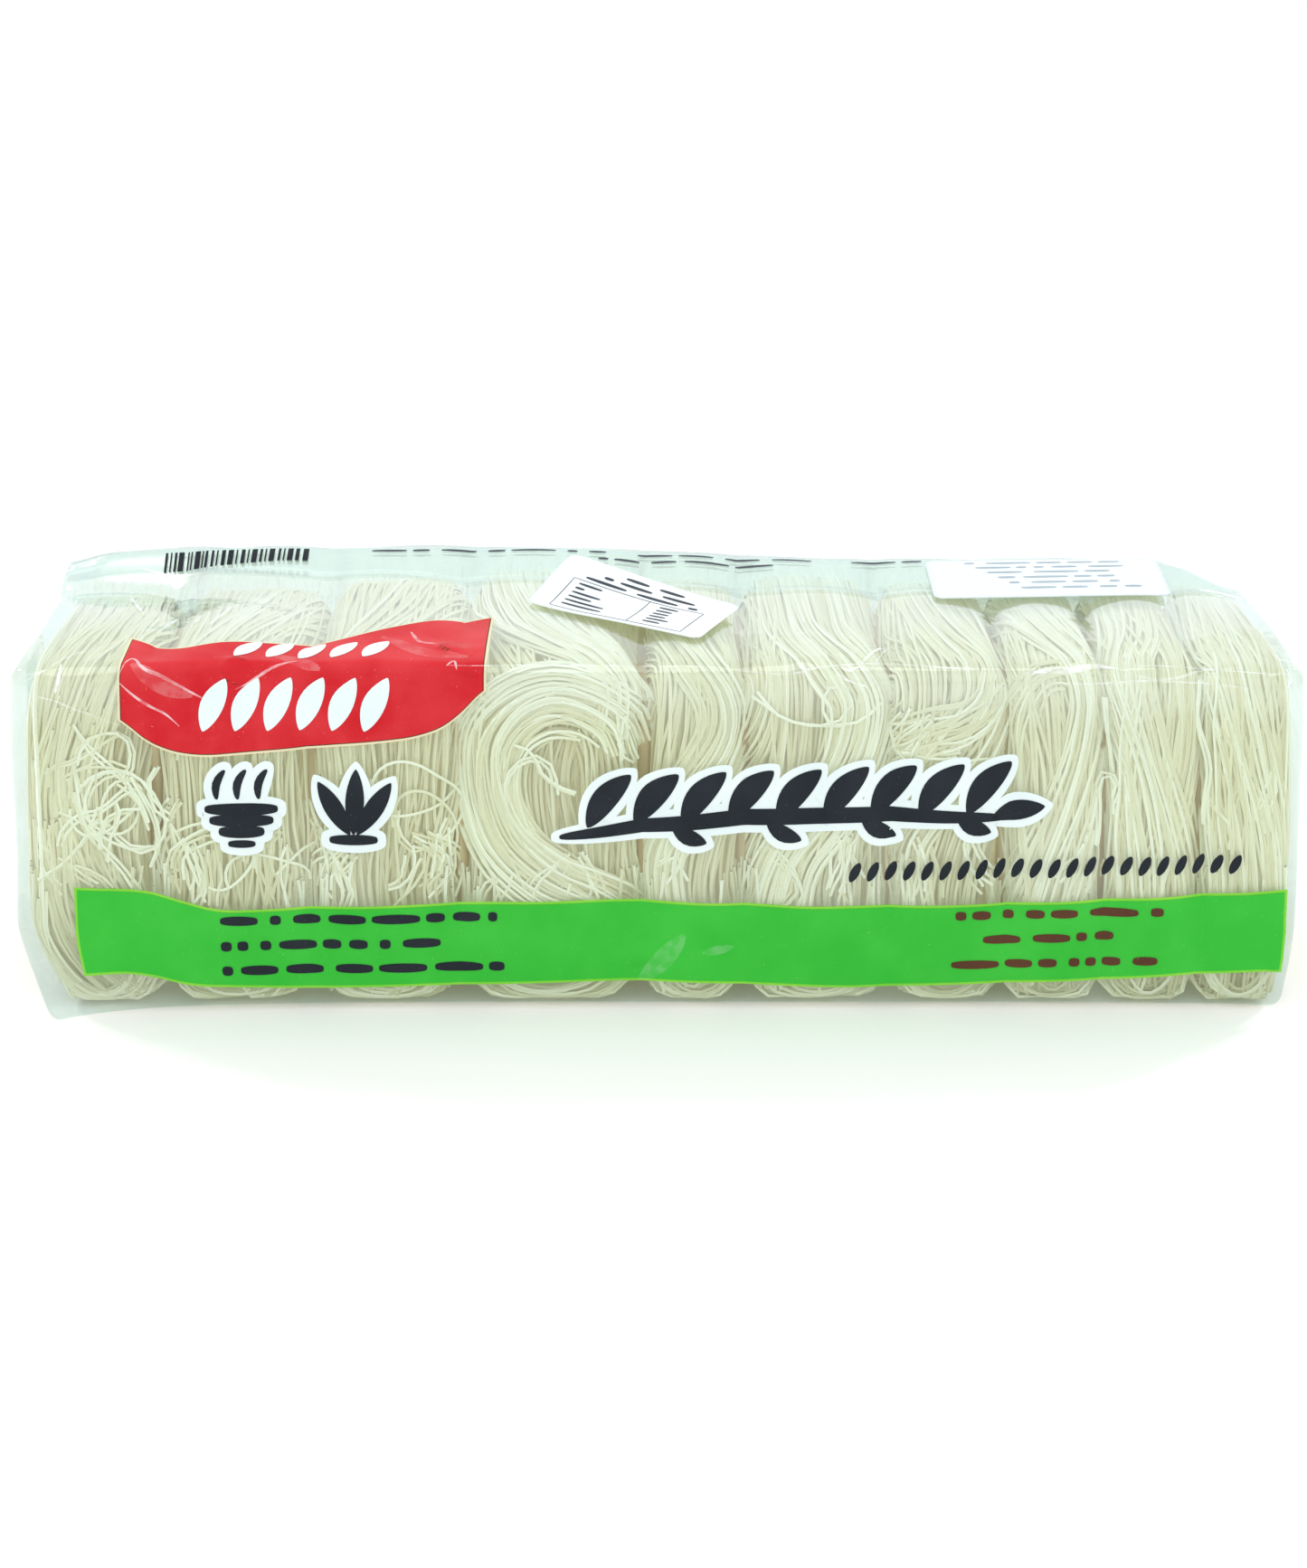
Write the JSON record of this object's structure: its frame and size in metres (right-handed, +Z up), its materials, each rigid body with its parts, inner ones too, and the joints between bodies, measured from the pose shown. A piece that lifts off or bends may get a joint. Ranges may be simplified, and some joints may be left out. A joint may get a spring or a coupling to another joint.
{
  "type": "clear film pack of dried rice vermicelli nests",
  "caption": "Long block-shaped clear film pack of dried rice vermicelli nests standing in a row, with a red panel, a green band, a ridge of film along the rear top edge and paper labels on top.",
  "frame": {"origin": "middle of the pack's footprint on the surface it stands on", "axes": "+X along the row of nests, -Y towards the printed front panel, +Z up"},
  "size_m": [0.3836, 0.0996, 0.1162],
  "materials": {
    "filled_film": "clear glossy film over pale cream noodles",
    "paper": "matt coated paper"
  },
  "bodies": {
    "root": {"bag": "filled_film", "label_centre": "paper", "label_rear": "paper"}
  },
  "joints": []
}
